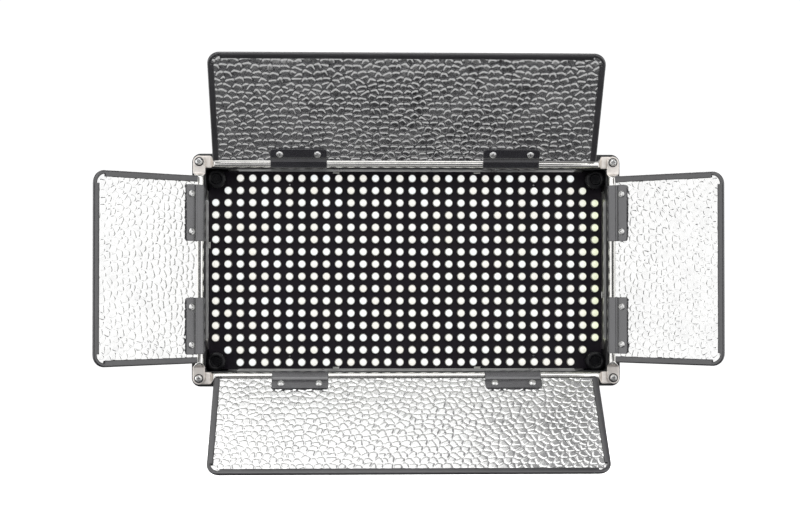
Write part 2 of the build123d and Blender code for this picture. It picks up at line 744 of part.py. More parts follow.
def control_board():
    y = BACK_Y - 13.6
    board = block((78.0, 146.0), (y, y + 1.6), (-72.0, 6.0))
    chip = block((105.0, 117.0), (y + 1.6, y + 3.2), (-48.0, -36.0))
    return board, chip


def housing_fasteners():
    """Screws of the back cover and the battery plate, and the corner posts' nuts."""
    cover_screw = Pos(0, BACK_Y, 0) * Rot(180, 0, 0) * pan_screw(3.0, 1.8, 1.5, 6.0)
    plate_screw = Pos(0, BACK_Y + 4.0, 0) * Rot(180, 0, 0) * pan_screw(3.8, 2.2, 2.0, 8.0)
    spots = [(s * 38.0, BATTERY_Z + z) for s in (-1, 1) for z in (-50, 50)]
    fasteners = [Pos(x, 0, z) * cover_screw for x, z in COVER_SCREWS]
    fasteners += [Pos(BATTERY_X + x, 0, z) * plate_screw for x, z in spots]
    fasteners += [Pos(x, 0, z) * post_nut() for x, z in corners(POST_X, POST_Z)]
    return fasteners


def save_head():
    led = led_emitter()
    save("led_emitters", *[Pos(x, BOARD_Y, z) * led for x, z in led_sites()])
    save("led_board", led_board())
    save("corner_posts", *[Pos(x, 0, z) * corner_post() for x, z in corners(POST_X, POST_Z)])
    save("heat_spreader", heat_spreader())
    save("front_bezel", front_bezel())
    save("housing_shell", housing_shell())
    save("back_cover", back_cover())
    save("housing_fasteners", *housing_fasteners())
    save("pivot_inserts", *[pivot_insert(side) for side in (-1, 1)])
    save("friction_pads", *[friction_pad(side) for side in (-1, 1)])


def save_recess():
    half_long = POST_X - POST_RADIUS - 2.0
    half_short = POST_Z - POST_RADIUS - 2.0
    long_strip = liner_strip(half_long, OPENING_HEIGHT / 2, False)
    short_strip = liner_strip(half_short, OPENING_WIDTH / 2, True)
    turned = [Rot(0, 180, 0) * strip for strip in (long_strip, short_strip)]
    save("recess_liners", long_strip, short_strip, *turned)
    save("filter_hooks", *filter_hooks())


def save_rods():
    for name, rod in rods().items():
        save(name, rod)
    over = ROD_Y + 4.6 - 2 * TAB_THICKNESS
    washer = rod_y(3.6, over - 0.5, over) - rod_y(1.6, over - 2, over + 1)
    save("corner_washers", *[Pos(x, 0, z) * washer for x, z in corners(CORNER_X, CORNER_Z)])
    screw = Pos(0, over - 0.5, 0) * pan_screw(2.9, 2.2, 1.47, 14.0)
    save("corner_screws", *[Pos(x, 0, z) * screw for x, z in corners(CORNER_X, CORNER_Z)])


def save_doors():
    top = Pos(TOP_SHIFT, ROD_Y, ROD_Z) * Rot(TOP_TILT, 0, 0)
    bottom = Pos(BOTTOM_SHIFT, ROD_Y, -ROD_Z) * Rot(0, 180, 0) * Rot(BOTTOM_TILT, 0, 0)
    left = Pos(-ROD_X, ROD_Y, LEFT_SHIFT) * Rot(0, -90, 0) * Rot(LEFT_TILT, 0, 0)
    right = Pos(ROD_X, ROD_Y, RIGHT_SHIFT) * Rot(0, 90, 0) * Rot(RIGHT_TILT, 0, 0)
    save_door("top", top, LONG_DOOR_WIDTH, LONG_CLIP_OFFSET)
    save_door("bottom", bottom, LONG_DOOR_WIDTH, LONG_CLIP_OFFSET)
    save_door("left", left, SHORT_DOOR_WIDTH, SHORT_CLIP_OFFSET)
    save_door("right", right, SHORT_DOOR_WIDTH, SHORT_CLIP_OFFSET)


def save_yoke():
    save("yoke_bracket", *yoke_bracket())
    save("stand_socket", stand_socket())
    screw = Pos(0, CROSSBAR_Y - YOKE_SHEET, 0) * pan_screw(4.2, 2.6, 2.05, 7.6)
    save("socket_screws", *[Pos(x, 0, 0) * screw for x in (-SOCKET_FIXING, SOCKET_FIXING)])
    save("clamp_knob", clamp_knob())
    save("clamp_screw", rod_x(4.0, 8.6, 34.0, -20.0, 0))
    knob = tilt_knob()
    stud, washer = tilt_stud()
    save("tilt_knob_right", knob)
    save("tilt_knob_left", mirror(knob, Plane.YZ))
    save("tilt_stud_right", stud, washer)
    save("tilt_stud_left", mirror(stud, Plane.YZ), mirror(washer, Plane.YZ))


def save_controls():
    for name, x in (("brightness_knob", BRIGHTNESS_X), ("colour_knob", COLOUR_X)):
        save(name, Pos(x, BACK_Y + 0.8, KNOB_Z) * fluted_knob())
    save("rocker", rocker())
    save("switch_frame", switch_frame())
    window_face = plate_y(rounded(46, 26, 2.0), BACK_Y, BACK_Y + 1.2)
    save("display_window", Pos(DISPLAY_X, 0, DISPLAY_Z) * window_face)
    screen = block(
        (DISPLAY_X - 18, DISPLAY_X + 18), (BACK_Y - 4.0, BACK_Y - 0.4), (DISPLAY_Z - 8, DISPLAY_Z + 8)
    )
    save("display", screen)
    save("dc_inlet", dc_inlet())
    save("battery_plate", battery_plate())
    save("battery_release", battery_release())
    save("power_contacts", *inlet_pins(), *battery_contacts())
    save("driver_board", driver_board(), *driver_parts())
    save("board_standoffs", *board_standoffs())
    dimmers = [potentiometer(x) for x in (BRIGHTNESS_X, COLOUR_X)]
    save("control_board", *control_board(), *dimmers)


save_head()
save_recess()
save_rods()
save_doors()
save_yoke()
save_controls()
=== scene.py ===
"""Looks of the LED panel light with barn doors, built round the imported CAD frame."""

import json
from math import cos, pi, radians, sin, sqrt

import bpy
import numpy as np
from mathutils import Matrix, Vector


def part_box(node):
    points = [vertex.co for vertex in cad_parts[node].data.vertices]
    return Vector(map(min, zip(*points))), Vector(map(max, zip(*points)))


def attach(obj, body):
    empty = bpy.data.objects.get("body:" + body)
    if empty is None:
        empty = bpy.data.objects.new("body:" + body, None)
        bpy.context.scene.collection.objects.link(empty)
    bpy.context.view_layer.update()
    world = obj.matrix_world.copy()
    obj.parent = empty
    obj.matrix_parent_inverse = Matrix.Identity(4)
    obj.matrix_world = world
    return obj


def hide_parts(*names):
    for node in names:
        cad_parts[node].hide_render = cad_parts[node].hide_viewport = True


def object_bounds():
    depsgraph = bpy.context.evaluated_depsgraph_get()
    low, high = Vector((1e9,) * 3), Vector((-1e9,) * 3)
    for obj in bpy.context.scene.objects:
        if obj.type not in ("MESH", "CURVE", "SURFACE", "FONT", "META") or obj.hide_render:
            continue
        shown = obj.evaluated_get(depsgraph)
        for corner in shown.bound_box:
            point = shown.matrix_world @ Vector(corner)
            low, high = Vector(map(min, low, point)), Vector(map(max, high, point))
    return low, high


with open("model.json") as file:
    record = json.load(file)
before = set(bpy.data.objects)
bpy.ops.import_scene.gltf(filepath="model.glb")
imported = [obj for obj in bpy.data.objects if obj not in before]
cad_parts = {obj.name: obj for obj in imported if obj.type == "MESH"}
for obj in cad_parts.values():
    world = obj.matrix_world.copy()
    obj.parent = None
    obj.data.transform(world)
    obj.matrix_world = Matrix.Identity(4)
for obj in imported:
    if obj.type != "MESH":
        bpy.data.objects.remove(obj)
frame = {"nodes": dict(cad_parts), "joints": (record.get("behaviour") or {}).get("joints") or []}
CAD_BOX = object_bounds()
NODES = frame["nodes"]
JOINTS = {joint["name"]: joint for joint in frame["joints"]}
MM = 0.001
DOORS = ("top", "bottom", "left", "right")
SEED = 500

# Door sheet and its folded hem, in millimetres; the crown is how far the hem's face rounds off
SHEET = 1.0
CORNER = 10.0
RIM = 0.8
HEM = 5.0
HEM_AT_CORNER = 3.0
HEM_THICKNESS = 0.8
HEM_CROWN = 0.34
HEM_ROLL = 1.3
SEAM = 1.9
FLAT_INSET = 1.4

# Clips, in millimetres: a strip rolled round the rod, with a pressed groove and a rounded tongue
CLIP_BORE = 3.05
CLIP_SHEET = 1.2
CLIP_REACH = 15.6
CLIP_WIDTH = 45.0
CLIP_CORNER = 2.2
CLIP_EDGE = 0.22
CLIP_WRAP = 230
CLIP_OFFSETS = {"top": 85.0, "bottom": 85.0, "left": 45.0, "right": 45.0}
GROOVE_HEIGHT = 6.4
GROOVE_HALF_WIDTH = 1.9
GROOVE_DEPTH = 0.62

# Hinge rods and their crushed ends, in millimetres
ROD_RADIUS = 3.0
ROD_NECK = 4.6
TAB_HALF_WIDTH = 4.9
TAB_HALF_THICKNESS = 0.8
TAB_REACH = 8.4
WASHER_RADIUS = 3.6

# Hammered inserts: sizes in millimetres, then shares of a pebble's size or height
GRID_STEP = 0.5
INSERT_GAP = 0.1
INSERT_SKIN = 0.09
SAG = 0.05
PEBBLE_SIZE = 5.4
PEBBLE_HEIGHT = 0.34
PEBBLE_STRETCH = 1.14
PEBBLE_SHOULDER = 0.16
PEBBLE_JITTER = 0.39
PEBBLE_LEAN = 0.18
PEBBLE_DOME = 0.08
PEBBLE_TOP = 1.15
ROW_SHIFT = 0.25
BORDER_SHARPNESS = 11.0

# LEDs, in metres: their pitch, how far behind the tip the glow ends, and where the painted viewing-angle
# tint sets in
LED_PITCH = 0.01
DOME_LIT = 0.0022
DOME_DARK = 0.0034
PAINTED_VIEW_TINT_COLUMNS = (0.140, 0.156)

# Back panel marks, in millimetres
DIGIT_WIDTH = 3.8
DIGIT_HEIGHT = 6.4
DIGIT_SPACING = 7.2
DIGIT_ROW = 5.2
DIGIT_STROKE = 0.7
TICK_INNER = 13.2
TICK_SHORT = 15.0
TICK_LONG = 16.2
TICK_HALF_WIDTH = 0.4
TICKS = 11
DIAL_TRAVEL = 270

# Camera: place in metres, with its Y counted from the top hinge, and its aim in degrees
CAMERA_X = -0.0448
CAMERA_BACK = 1.1883
CAMERA_Z = -0.0119
CAMERA_YAW = -1.886
CAMERA_PITCH = 0.805
CAMERA_LENS = 66.68

# Floor, in metres: how far below the light it lies, and half its side
FLOOR_DROP = 0.22
FLOOR_HALF = 14.0

# Soft boxes: name, place and aim from the head's tilt axis in metres, size and radiance
SOFT_BOXES = (
    ("soft_top", (0.0, -0.3, 1.2), (0.0, -0.3, 0.0), (2.4, 1.8), 0.22),
    ("core_top", (-0.2, -0.3, 1.19), (-0.2, -0.3, 0.0), (0.8, 1.6), 0.96),
    ("soft_front", (0.0, -1.5, 1.15), (0.0, 0.0, 0.0), (2.8, 1.7), 1.15),
    ("soft_left", (-1.3, -1.1, 0.0), (0.0, -1.1, 0.0), (2.9, 1.6), 1.12),
    ("soft_right", (1.3, -1.1, 0.0), (0.0, -1.1, 0.0), (2.9, 1.6), 1.12),
    ("low_front", (0.0, -1.09, -0.71), (0.0, 0.0, 0.0), (2.0, 0.7), 0.5),
    ("back_fill", (0.6, 2.2, 1.0), (0.0, 0.0, 0.0), (2.2, 1.6), 3.6),
    ("back_side", (-1.9, 1.5, 0.2), (0.0, 0.0, 0.0), (1.4, 1.4), 2.6),
)


# Materials

class Graph:
    """Short calls for building a material's nodes."""

    def __init__(self, name):
        self.material = bpy.data.materials.new(name)
        self.material.use_nodes = True
        self.tree = self.material.node_tree
        self.shader = self.tree.nodes["Principled BSDF"]
        self.coords = self.tree.nodes.new("ShaderNodeTexCoord").outputs["Object"]

    def node(self, kind, **values):
        node = self.tree.nodes.new(kind)
        for key, value in values.items():
            setattr(node, key, value)
        return node

    def link(self, source, target):
        self.tree.links.new(source, target)

    def put(self, socket, value):
        if isinstance(value, bpy.types.NodeSocket):
            self.link(value, socket)
        else:
            socket.default_value = value

    def noise(self, scale, detail=2.0, rough=0.5, vector=None):
        node = self.node("ShaderNodeTexNoise")
        self.link(vector or self.coords, node.inputs["Vector"])
        node.inputs["Scale"].default_value = scale
        node.inputs["Detail"].default_value = detail
        node.inputs["Roughness"].default_value = rough
        return node.outputs["Fac"]

    def stretched(self, scale):
        """Object coordinates scaled by axis, for grain that runs one way."""
        node = self.node("ShaderNodeMapping")
        self.link(self.coords, node.inputs["Vector"])
        node.inputs["Scale"].default_value = scale
        return node.outputs["Vector"]

    def ramp(self, value, low, high, start=0.0, end=1.0):
        node = self.node("ShaderNodeMapRange")
        self.link(value, node.inputs["Value"])
        node.inputs["From Min"].default_value = start
        node.inputs["From Max"].default_value = end
        node.inputs["To Min"].default_value = low
        node.inputs["To Max"].default_value = high
        return node.outputs["Result"]

    def mix(self, factor, first, second):
        node = self.node("ShaderNodeMix", data_type="RGBA")
        self.put(node.inputs["Factor"], factor)
        self.put(node.inputs[6], first)
        self.put(node.inputs[7], second)
        return node.outputs[2]

    def math(self, operation, first, second=0.0):
        node = self.node("ShaderNodeMath", operation=operation)
        self.put(node.inputs[0], first)
        self.put(node.inputs[1], second)
        return node.outputs[0]

    def bump(self, height, strength, distance, normal=None):
        node = self.node("ShaderNodeBump")
        self.link(height, node.inputs["Height"])
        node.inputs["Strength"].default_value = strength
        node.inputs["Distance"].default_value = distance
        if normal is not None:
            self.link(normal, node.inputs["Normal"])
        return node.outputs["Normal"]

    def soft_edges(self, radius):
        node = self.node("ShaderNodeBevel", samples=4)
        node.inputs["Radius"].default_value = radius
        return node.outputs["Normal"]

    def edge_mask(self, rounded):
        """1 on edges and 0 on flat faces, from how far the rounded normal leans."""
        face = self.node("ShaderNodeNewGeometry").outputs["Normal"]
        dot = self.node("ShaderNodeVectorMath", operation="DOT_PRODUCT")
        self.link(rounded, dot.inputs[0])
        self.link(face, dot.inputs[1])
        return self.ramp(dot.outputs["Value"], 1.0, 0.0, 0.80, 0.985)

    def finish(self, color, roughness, normal=None, **constants):
        self.put(self.shader.inputs["Base Color"], color)
        self.put(self.shader.inputs["Roughness"], roughness)
        if normal is not None:
            self.link(normal, self.shader.inputs["Normal"])
        for name, value in constants.items():
            self.shader.inputs[name.replace("_", " ")].default_value = value
        return self.material


def grey(value, alpha=1.0):
    return (value, value, value, alpha)


def powder_coat(name, color, roughness, grain=1100.0, wear=0.35, sheen=0.5, gloss_index=1.5):
    """Fine-textured paint with faint mottling and rubbed edges."""
    g = Graph(name)
    rounded = g.soft_edges(0.0006)
    mottle = g.noise(38.0, 4.0, 0.6)
    light = tuple(min(1.0, c * 1.7 + 0.006) for c in color[:3]) + (1.0,)
    base = g.mix(g.ramp(mottle, 0.0, 1.0, 0.35, 0.75), color, light)
    chips = g.math("MULTIPLY", g.edge_mask(rounded), g.ramp(g.noise(160.0, 3.0), 0.0, wear, 0.42, 0.7))
    base = g.mix(chips, base, (0.22, 0.22, 0.225, 1.0))
    rough = g.ramp(g.noise(70.0, 3.0), roughness - 0.02, roughness + 0.04, 0.2, 0.8)
    normal = g.bump(g.noise(grain, 2.0), 0.22, 0.00012, rounded)
    return g.finish(base, rough, normal, Specular_IOR_Level=sheen, IOR=gloss_index)


def hammered_metal(name):
    """Bright rolled aluminium: haze, fine rolling lines and small flecks over real dimples."""
    g = Graph(name)
    haze = g.noise(55.0, 4.0, 0.6)
    flecks = g.ramp(g.noise(420.0, 2.0, 0.7), 0.0, 1.0, 0.62, 0.74)
    base = g.mix(g.ramp(haze, 0.0, 1.0, 0.3, 0.7), (0.78, 0.78, 0.775, 1.0), (0.90, 0.90, 0.89, 1.0))
    base = g.mix(g.math("MULTIPLY", flecks, 0.35), base, (0.55, 0.55, 0.55, 1.0))
    lines = g.noise(1.0, 3.0, 0.6, g.stretched((60.0, 2600.0, 2600.0)))
    rough = g.ramp(haze, 0.11, 0.24, 0.3, 0.7)
    normal = g.bump(lines, 0.04, 0.00006)
    normal = g.bump(g.noise(900.0, 3.0), 0.04, 0.00008, normal)
    return g.finish(base, rough, normal, Metallic=1.0)


def polished_metal(name, color, roughness, along=(1.0, 1.0, 1.0), scratch=0.08):
    """Plated or polished metal with drawn streaks and slight tarnish."""
    g = Graph(name)
    streak = g.noise(1.0, 4.0, 0.65, g.stretched(along))
    tarnish = g.noise(120.0, 4.0, 0.6)
    dull = tuple(c * 0.72 for c in color[:3]) + (1.0,)
    base = g.mix(g.ramp(tarnish, 0.0, 0.8, 0.45, 0.8), color, dull)
    rough = g.ramp(streak, roughness - 0.04, roughness + 0.08, 0.3, 0.7)
    rounded = g.soft_edges(0.0003)
    normal = g.bump(streak, scratch, 0.00008, rounded)
    return g.finish(base, rough, normal, Metallic=1.0)


def moulded_plastic(name, color, roughness, grain=1500.0, strength=0.18, sheen=0.5):
    """Moulded plastic with spark texture, softened edges and a painted highlight along every edge."""
    g = Graph(name)
    rounded = g.soft_edges(0.0005)
    mottle = g.noise(90.0, 3.0)
    pale = tuple(min(1.0, c * 1.5 + 0.004) for c in color[:3]) + (1.0,)
    base = g.mix(g.ramp(mottle, 0.0, 0.8, 0.35, 0.7), color, pale)
    # every edge painted a quarter of the way to grey: a painted highlight along the rims
    base = g.mix(g.math("MULTIPLY", g.edge_mask(rounded), 0.25), base, grey(0.16))
    rough = g.ramp(g.noise(240.0, 2.0), roughness - 0.06, roughness + 0.08, 0.3, 0.7)
    normal = g.bump(g.noise(grain, 2.0), strength, 0.0001, rounded)
    return g.finish(base, rough, normal, Specular_IOR_Level=sheen)


def rubber(name):
    g = Graph(name)
    normal = g.bump(g.noise(1300.0, 3.0), 0.3, 0.00012, g.soft_edges(0.0004))
    base = g.mix(g.noise(70.0, 4.0), grey(0.018), grey(0.045))
    return g.finish(base, g.ramp(g.noise(200.0), 0.7, 0.9), normal)


def circuit_board(name, mask, trace):
    """Solder mask over faint copper tracks."""
    g = Graph(name)
    node = g.node("ShaderNodeTexBrick")
    g.link(g.stretched((190.0, 190.0, 190.0)), node.inputs["Vector"])
    node.inputs["Mortar Size"].default_value = 0.05
    tracks = node.outputs["Fac"]
    base = g.mix(g.math("MULTIPLY", tracks, 0.35), mask, trace)
    base = g.mix(g.ramp(g.noise(30.0, 3.0), 0.0, 0.35, 0.3, 0.8), base, trace)
    normal = g.bump(tracks, 0.1, 0.00008)
    return g.finish(base, g.ramp(g.noise(350.0), 0.42, 0.6), normal, Specular_IOR_Level=0.2)


def led_epoxy(name):
    """Milky lit lens: glows white over the dome and is painted dimmer where the dome turns away from the
    front, a painted shade at its wall; each LED a little different.

    The last columns on the right are painted a little yellow-green, standing in for the colour shift the
    lit LEDs show at that viewing angle: painted light, not their own tint.
    """
    g = Graph(name)
    snap = g.node("ShaderNodeVectorMath", operation="SNAP")
    g.link(g.coords, snap.inputs[0])
    snap.inputs[1].default_value = (LED_PITCH, 1.0, LED_PITCH)
    own = g.node("ShaderNodeTexWhiteNoise")
    g.link(snap.outputs["Vector"], own.inputs["Vector"])
    facing = g.node("ShaderNodeSeparateXYZ")
    g.link(g.tree.nodes["Texture Coordinate"].outputs["Normal"], facing.inputs[0])
    painted_rim_shade_facing = g.math("MULTIPLY", facing.outputs["Y"], -1.0)
    place = g.node("ShaderNodeSeparateXYZ")
    g.link(g.coords, place.inputs[0])
    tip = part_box("led_emitters")[0].y
    dome = g.ramp(place.outputs["Y"], 1.0, 0.0, tip + DOME_LIT, tip + DOME_DARK)
    # glow painted dimmer where the dome's surface turns away from the front: painted shade at each LED's
    # rim
    dome = g.math("MULTIPLY", dome, g.ramp(painted_rim_shade_facing, 0.05, 0.84, 0.10, 0.60))
    tint = g.mix(own.outputs["Value"], (1.0, 0.97, 0.90, 1.0), (0.92, 0.97, 1.0, 1.0))
    # right-hand columns painted yellow-green by position: a painted colour shift from the viewing angle
    edge = g.ramp(place.outputs["X"], 0.0, 0.8, *PAINTED_VIEW_TINT_COLUMNS)
    tint = g.mix(edge, tint, (0.86, 0.93, 0.58, 1.0))
    strength = g.math("MULTIPLY", dome, g.ramp(own.outputs["Value"], 0.86, 1.02))
    g.put(g.shader.inputs["Emission Color"], tint)
    g.put(g.shader.inputs["Emission Strength"], strength)
    base = g.mix(g.noise(400.0), (0.30, 0.30, 0.27, 1.0), (0.42, 0.42, 0.38, 1.0))
    return g.finish(base, g.ramp(g.noise(500.0), 0.12, 0.24), IOR=1.5, Coat_Weight=0.3)


def glass_window(name):
    g = Graph(name)
    smear = g.noise(45.0, 4.0, 0.6)
    base = g.mix(smear, (0.012, 0.010, 0.011, 1.0), (0.022, 0.018, 0.020, 1.0))
    return g.finish(base, g.ramp(smear, 0.06, 0.2, 0.3, 0.7), g.soft_edges(0.0004), Coat_Weight=0.5)


def glow(name, color, strength):
    g = Graph(name)
    g.put(g.shader.inputs["Emission Color"], g.mix(g.noise(600.0), color, tuple(c * 0.8 for c in color)))
    g.shader.inputs["Emission Strength"].default_value = strength
    return g.finish(g.mix(g.noise(300.0), color, grey(0.1)), g.ramp(g.noise(200.0), 0.3, 0.5))


def printed_mark(name):
    g = Graph(name)
    base = g.mix(g.noise(500.0, 3.0), grey(0.62), grey(0.78))
    return g.finish(base, g.ramp(g.noise(300.0), 0.5, 0.7), g.bump(g.noise(1800.0), 0.1, 0.00005))


def make_materials():
    warm_black = (0.020, 0.020, 0.022, 1.0)
    plating = (0.90, 0.89, 0.86, 1.0)
    warm_plating = (0.97, 0.92, 0.87, 1.0)
    return {
        "housing": powder_coat("housing_coat", (0.014, 0.014, 0.015, 1.0), 0.44, sheen=0.7),
        "door": powder_coat("door_coat", (0.014, 0.013, 0.016, 1.0), 0.30, sheen=1.0, gloss_index=1.64),
        "clip": powder_coat("clip_coat", (0.013, 0.012, 0.017, 1.0), 0.22, 900.0, 0.5, 1.0, 1.75),
        "yoke": powder_coat("yoke_coat", warm_black, 0.5, 800.0, 0.5),
        "hammered": hammered_metal("hammered_aluminium"),
        "rod_level": polished_metal("plated_rod_level", plating, 0.10, (40.0, 900.0, 900.0), 0.012),
        "rod_upright": polished_metal("plated_rod_upright", plating, 0.10, (900.0, 900.0, 40.0), 0.012),
        "crushed_end": polished_metal("crushed_plating", warm_plating, 0.50, (300.0, 300.0, 300.0), 0.25),
        "liner": polished_metal("polished_liner", (0.82, 0.82, 0.80, 1.0), 0.30, (60.0, 1500.0, 60.0)),
        "steel": polished_metal("screw_steel", (0.76, 0.76, 0.75, 1.0), 0.24, (700.0, 700.0, 700.0)),
        "aluminium": polished_metal("bare_aluminium", (0.66, 0.66, 0.67, 1.0), 0.35, (80.0, 1200.0, 80.0)),
        "brass": polished_metal("contact_brass", (0.80, 0.62, 0.30, 1.0), 0.25, (600.0, 600.0, 600.0)),
        # washers painted near black so that each corner screw shows a dark ring: a painted contact shadow
        "washer": polished_metal("washer_painted_shadow", (0.10, 0.10, 0.105, 1.0), 0.3, (500.0, 500.0, 500.0)),
        "knob": moulded_plastic("knob_plastic", (0.016, 0.016, 0.017, 1.0), 0.5),
        "panel": moulded_plastic("panel_plastic", (0.022, 0.022, 0.024, 1.0), 0.55, 1200.0, 0.25),
        "post": moulded_plastic("post_plastic", (0.004, 0.004, 0.005, 1.0), 0.22, 1500.0, 0.04, 0.22),
        "rocker": moulded_plastic("rocker_plastic", (0.018, 0.018, 0.018, 1.0), 0.22, 1500.0, 0.06),
        "rubber": rubber("friction_rubber"),
        # near-black board, its purple tint and raised brightness partly its own colour and partly a
        # painted reflection of faint coloured glints
        "led_board": circuit_board("black_board", (0.009, 0.007, 0.012, 1.0), (0.026, 0.020, 0.026, 1.0)),
        "green_board": circuit_board("green_board", (0.012, 0.085, 0.030, 1.0), (0.03, 0.16, 0.06, 1.0)),
        "led": led_epoxy("led_epoxy"),
        "window": glass_window("display_window_gloss"),
        "digit": glow("display_glow", (1.0, 0.12, 0.06, 1.0), 2.0),
        "mark": printed_mark("printed_mark"),
    }


MATERIAL_OF = {
    "front_bezel": "housing", "housing_shell": "housing", "back_cover": "housing",
    "yoke_bracket": "yoke", "stand_socket": "yoke", "socket_screws": "steel",
    "clamp_knob": "knob", "clamp_screw": "steel", "housing_fasteners": "steel",
    "pivot_inserts": "aluminium", "friction_pads": "rubber", "led_board": "led_board",
    "led_emitters": "led", "corner_posts": "post", "heat_spreader": "aluminium",
    "recess_liners": "liner", "filter_hooks": "liner", "corner_washers": "washer",
    "corner_screws": "steel", "switch_frame": "panel", "display_window": "window",
    "display": "window", "dc_inlet": "panel", "power_contacts": "brass",
    "battery_plate": "panel", "battery_release": "knob", "driver_board": "green_board",
    "board_standoffs": "brass", "control_board": "green_board", "tilt_knob_left": "knob",
    "tilt_knob_right": "knob", "tilt_stud_left": "steel", "tilt_stud_right": "steel",
    "brightness_knob": "knob", "colour_knob": "knob", "rocker": "rocker",
    "rod_top": "rod_level", "rod_bottom": "rod_level",
    "rod_left": "rod_upright", "rod_right": "rod_upright",
}


def dress_cad_nodes():
    for name, node in NODES.items():
        key = MATERIAL_OF.get(name)
        if key is None:
            part = name.rsplit("_", 1)[1]
            key = {"panel": "door", "reflector": "hammered", "clips": "clip"}.get(part, "steel")
        for place in node.material_slots:
            place.material = MATERIALS[key]


# Mesh helpers

def build(name, verts, faces, material, matrix=None, smooth_below=35.0):
    """Object from vertices in metres, with faces smoothed below an angle in degrees."""
    mesh = bpy.data.meshes.new(name)
    mesh.from_pydata([tuple(v) for v in verts], [], faces)
    mesh.validate()
    mesh.update()
    obj = bpy.data.objects.new(name, mesh)
    bpy.context.scene.collection.objects.link(obj)
    obj.data.materials.append(MATERIALS[material])
    if matrix is not None:
        mesh.transform(matrix)
        if matrix.determinant() < 0:
            mesh.flip_normals()
    mesh.shade_smooth()
    mesh.set_sharp_from_angle(angle=radians(smooth_below))
    return obj


def rings_to_faces(count, size, start=0):
    """Faces between successive rings of vertices, and a cap at each end."""
    faces = []
    for ring in range(count - 1):
        for i in range(size):
            a = start + ring * size + i
            b = start + ring * size + (i + 1) % size
            faces.append((a, b, b + size, a + size))
    faces.append(tuple(start + i for i in reversed(range(size))))
    faces.append(tuple(start + (count - 1) * size + i for i in range(size)))
    return faces


def settle(obj, body, slot_name, *nodes):
    """Ride a finished piece on its body, in place of CAD nodes where given."""
    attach(obj, body)
    if nodes:
        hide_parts(*nodes)
    return obj


# Barn doors

def door_matrix(name):
    """Door's own frame: X along the hinge, -Y out of its inner face, Z away from the hinge."""
    joint = JOINTS[f"door_{name}_hinge"]
    along = Vector(joint["axis"]).normalized()
    mesh = NODES[f"door_{name}_reflector"].data
    inner = max(mesh.polygons, key=lambda p: p.area).normal.copy()
    if inner.y > 0:
        inner.negate()
    back = -inner
    back = (back - along * back.dot(along)).normalized()
    up = along.cross(back)
    matrix = Matrix((along, back, up)).transposed().to_4x4()
    matrix.translation = Vector(joint["pos_m"])
    low, high = local_box(f"door_{name}_panel", matrix)
    matrix.translation += along * ((low[0] + high[0]) / 2 * MM)
    return matrix


def local_box(node, matrix):
    """Lowest and highest corner of a CAD node in millimetres, in a door's frame."""
    back = matrix.inverted()
    co = np.array([back @ v.co for v in NODES[node].data.vertices], float) / MM
    return co.min(0), co.max(0)


def smooth(value):
    """Eased step from 0 to 1."""
    value = np.clip(value, 0.0, 1.0)
    return value * value * (3.0 - 2.0 * value)


def pebbles(x, z, cell, rng):
    """Height, 0 to about 1, of irregular pebbles pressed side by side with grooves between."""
    columns = int(np.ptp(x) / cell) + 7
    rows = int(np.ptp(z) / cell) + 7
    jitter = rng.uniform(-PEBBLE_JITTER, PEBBLE_JITTER, (columns, rows, 2))
    jitter[:, ::2, 0] += ROW_SHIFT
    jitter[:, 1::2, 0] -= ROW_SHIFT
    size = rng.uniform(0.75, 1.0, (columns, rows))
    lean = rng.normal(0.0, PEBBLE_LEAN, (columns, rows, 2)).clip(-0.4, 0.4)
    u = (x - x.min()) / (cell * PEBBLE_STRETCH) + 2.5
    v = (z - z.min()) / cell + 2.5
    iu = np.floor(u).astype(int)
    iv = np.floor(v).astype(int)
    around = [(du, dv) for du in (-2, -1, 0, 1, 2) for dv in (-2, -1, 0, 1, 2)]

    def centre(du, dv):
        cu = np.clip(iu + du, 0, columns - 1)
        cv = np.clip(iv + dv, 0, rows - 1)
        return cu, cv, cu + 0.5 + jitter[cu, cv, 0], cv + 0.5 + jitter[cu, cv, 1]

    near = np.full(u.shape, 9.0)
    px, pz = np.zeros(u.shape), np.zeros(u.shape)
    own_u, own_v = np.zeros(u.shape, int), np.zeros(u.shape, int)
    for du, dv in around:
        cu, cv, qx, qz = centre(du, dv)
        distance = (qx - u) ** 2 + (qz - v) ** 2
        closer = distance < near
        near = np.where(closer, distance, near)
        px, pz = np.where(closer, qx, px), np.where(closer, qz, pz)
        own_u, own_v = np.where(closer, cu, own_u), np.where(closer, cv, own_v)
    crowd = np.zeros(u.shape)
    for du, dv in around:
        cu, cv, qx, qz = centre(du, dv)
        apart = np.sqrt((qx - px) ** 2 + (qz - pz) ** 2)
        distance = ((qx - u) ** 2 + (qz - v) ** 2 - near) / (2 * np.maximum(apart, 0.05))
        crowd += np.where(apart > 0.01, np.exp(-BORDER_SHARPNESS * distance), 0.0)
    border = -np.log(np.maximum(crowd, 1e-6)) / BORDER_SHARPNESS
    wall = smooth(border / PEBBLE_SHOULDER)
    dome = 1.0 - near / 0.6
    slant = lean[own_u, own_v, 0] * (u - px) + lean[own_u, own_v, 1] * (v - pz)
    return wall * (size[own_u, own_v] * (1.0 - PEBBLE_DOME + PEBBLE_DOME * dome) + slant)


